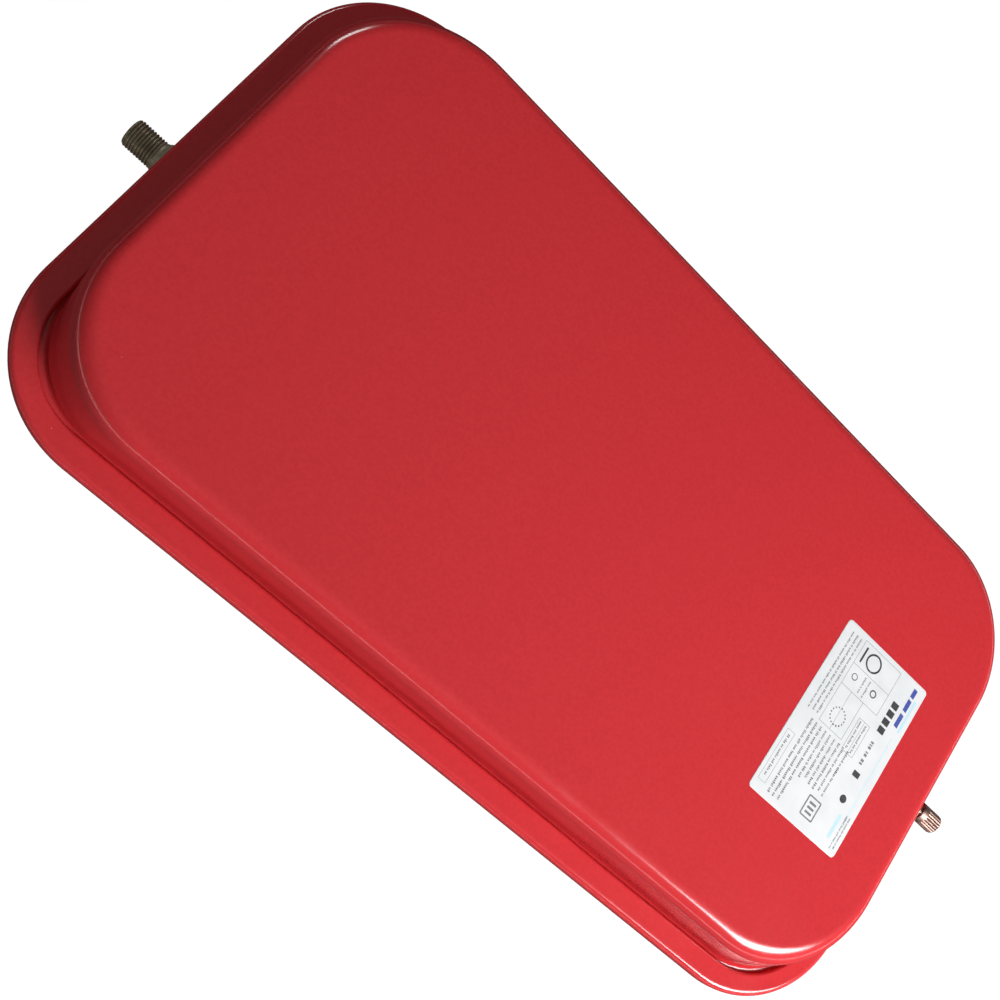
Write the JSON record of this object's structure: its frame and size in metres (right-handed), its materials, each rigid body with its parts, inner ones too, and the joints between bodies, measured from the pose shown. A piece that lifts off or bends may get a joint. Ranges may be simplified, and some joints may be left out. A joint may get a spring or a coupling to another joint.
{
  "type": "expansion vessel",
  "caption": "Flat rectangular diaphragm expansion vessel with a rolled rim, a male water stub on one end and a capped gas valve on the other.",
  "frame": {"origin": "centre of the flat rear face", "axes": "+X along the length towards the gas valve, away from the water stub; +Z out of the labelled front face; +Y across the width"},
  "size_m": [0.469, 0.25, 0.0931],
  "materials": {
    "shell_paint": "glossy red powder coat with faint orange peel",
    "weld_paint": "weld bead under the same red coat",
    "diaphragm_rubber": "matt moulded rubber",
    "label_film": "white printed sticker, satin film",
    "stub_steel": "turned steel, darkened zinc plate",
    "valve_nickel": "turned, nickel plated",
    "cap_nickel": "bright nickel plate",
    "core_brass": "turned brass",
    "core_steel": "drawn wire",
    "spring_steel": "spring wire",
    "seal_rubber": "matt moulded rubber"
  },
  "bodies": {
    "root": {"front_shell": "shell_paint", "rear_shell": "shell_paint", "rating_label": "label_film", "water_stub": "stub_steel", "stub_weld_bead": "weld_paint", "valve_stem": "valve_nickel", "valve_weld_bead": "weld_paint", "core_plug": "core_brass", "core_barrel": "core_brass", "core_barrel_seal": "seal_rubber", "core_spring": "spring_steel"},
    "diaphragm": {"diaphragm": "diaphragm_rubber"},
    "core": {"core_pin": "core_steel", "core_plunger": "core_brass", "core_plunger_seal": "seal_rubber"},
    "cap_gasket": {"cap_gasket": "seal_rubber"},
    "valve_cap": {"valve_cap": "cap_nickel"}
  },
  "joints": [
    {"name": "diaphragm_flex", "type": "slide", "parent": "root", "child": "diaphragm", "axis": [0, 0, 1], "range_m": [0, 0.045], "stiffness_N_per_m": 300, "deforming": ["diaphragm"]},
    {"name": "core_press", "type": "slide", "parent": "root", "child": "core", "axis": [-1, 0, 0], "range_m": [0, 0.0012], "stiffness_N_per_m": 600, "springref_m": -0.001, "deforming": ["core_spring"]},
    {"name": "cap_turn", "type": "hinge", "parent": "cap_gasket", "child": "valve_cap", "pos_m": [0.2225, 0, 0.0745], "axis": [1, 0, 0], "range_deg": [0, 3600]},
    {"name": "cap_lift", "type": "slide", "parent": "root", "child": "cap_gasket", "axis": [1, 0, 0], "range_m": [0, 0.00794]}
  ],
  "couplings": [
    {"joint": "cap_turn", "follows": "cap_lift", "rad_per_m": 7913.3}
  ]
}
